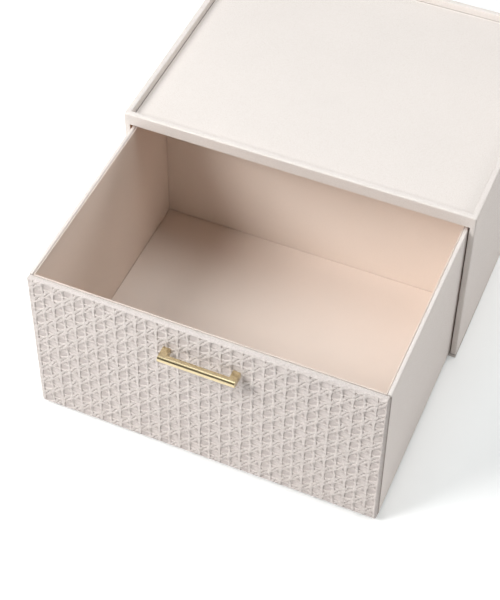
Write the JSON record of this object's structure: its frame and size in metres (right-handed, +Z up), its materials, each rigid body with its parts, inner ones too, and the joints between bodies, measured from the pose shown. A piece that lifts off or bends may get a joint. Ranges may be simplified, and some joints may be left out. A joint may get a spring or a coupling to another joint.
{
  "type": "stacking drawer box",
  "caption": "Stacking drawer box: leather-covered case with a raised rim round its top, and a lined drawer with an embossed front and a brass bar handle that slides out.",
  "frame": {"origin": "centre of the case's underside, on the surface that it stands on", "axes": "+X to the box's right as seen from behind the drawer's front looking in, +Y to the back of the case, +Z up; the drawer opens towards -Y"},
  "size_m": [0.34, 0.4963, 0.19],
  "materials": {
    "off_white_leather": "matte, fine grain",
    "embossed_leather": "matte, embossed cane weave",
    "grey_board": "raw pressed board",
    "beige_lining": "short matte nap",
    "satin_brass": "satin",
    "zinc_steel": "zinc plated"
  },
  "bodies": {
    "case": {"case_base_cover": "off_white_leather", "case_wrap": "off_white_leather", "case_base_board": "grey_board", "case_left_core": "grey_board", "case_right_core": "grey_board", "case_back_core": "grey_board", "case_rail_core": "grey_board", "case_top_core": "grey_board"},
    "drawer": {"drawer_wrap": "off_white_leather", "front_panel_cover": "embossed_leather", "drawer_left_core": "grey_board", "drawer_right_core": "grey_board", "drawer_back_core": "grey_board", "drawer_bottom_board": "grey_board", "front_panel_board": "grey_board", "liner_front": "beige_lining", "liner_back": "beige_lining", "liner_left": "beige_lining", "liner_right": "beige_lining", "floor_pad": "beige_lining", "handle_bar": "satin_brass", "handle_screw_left": "zinc_steel", "handle_screw_right": "zinc_steel"}
  },
  "joints": [
    {"name": "drawer_slide", "type": "slide", "parent": "case", "child": "drawer", "axis": [0, -1, 0], "range_m": [-0.203, 0.044]}
  ]
}
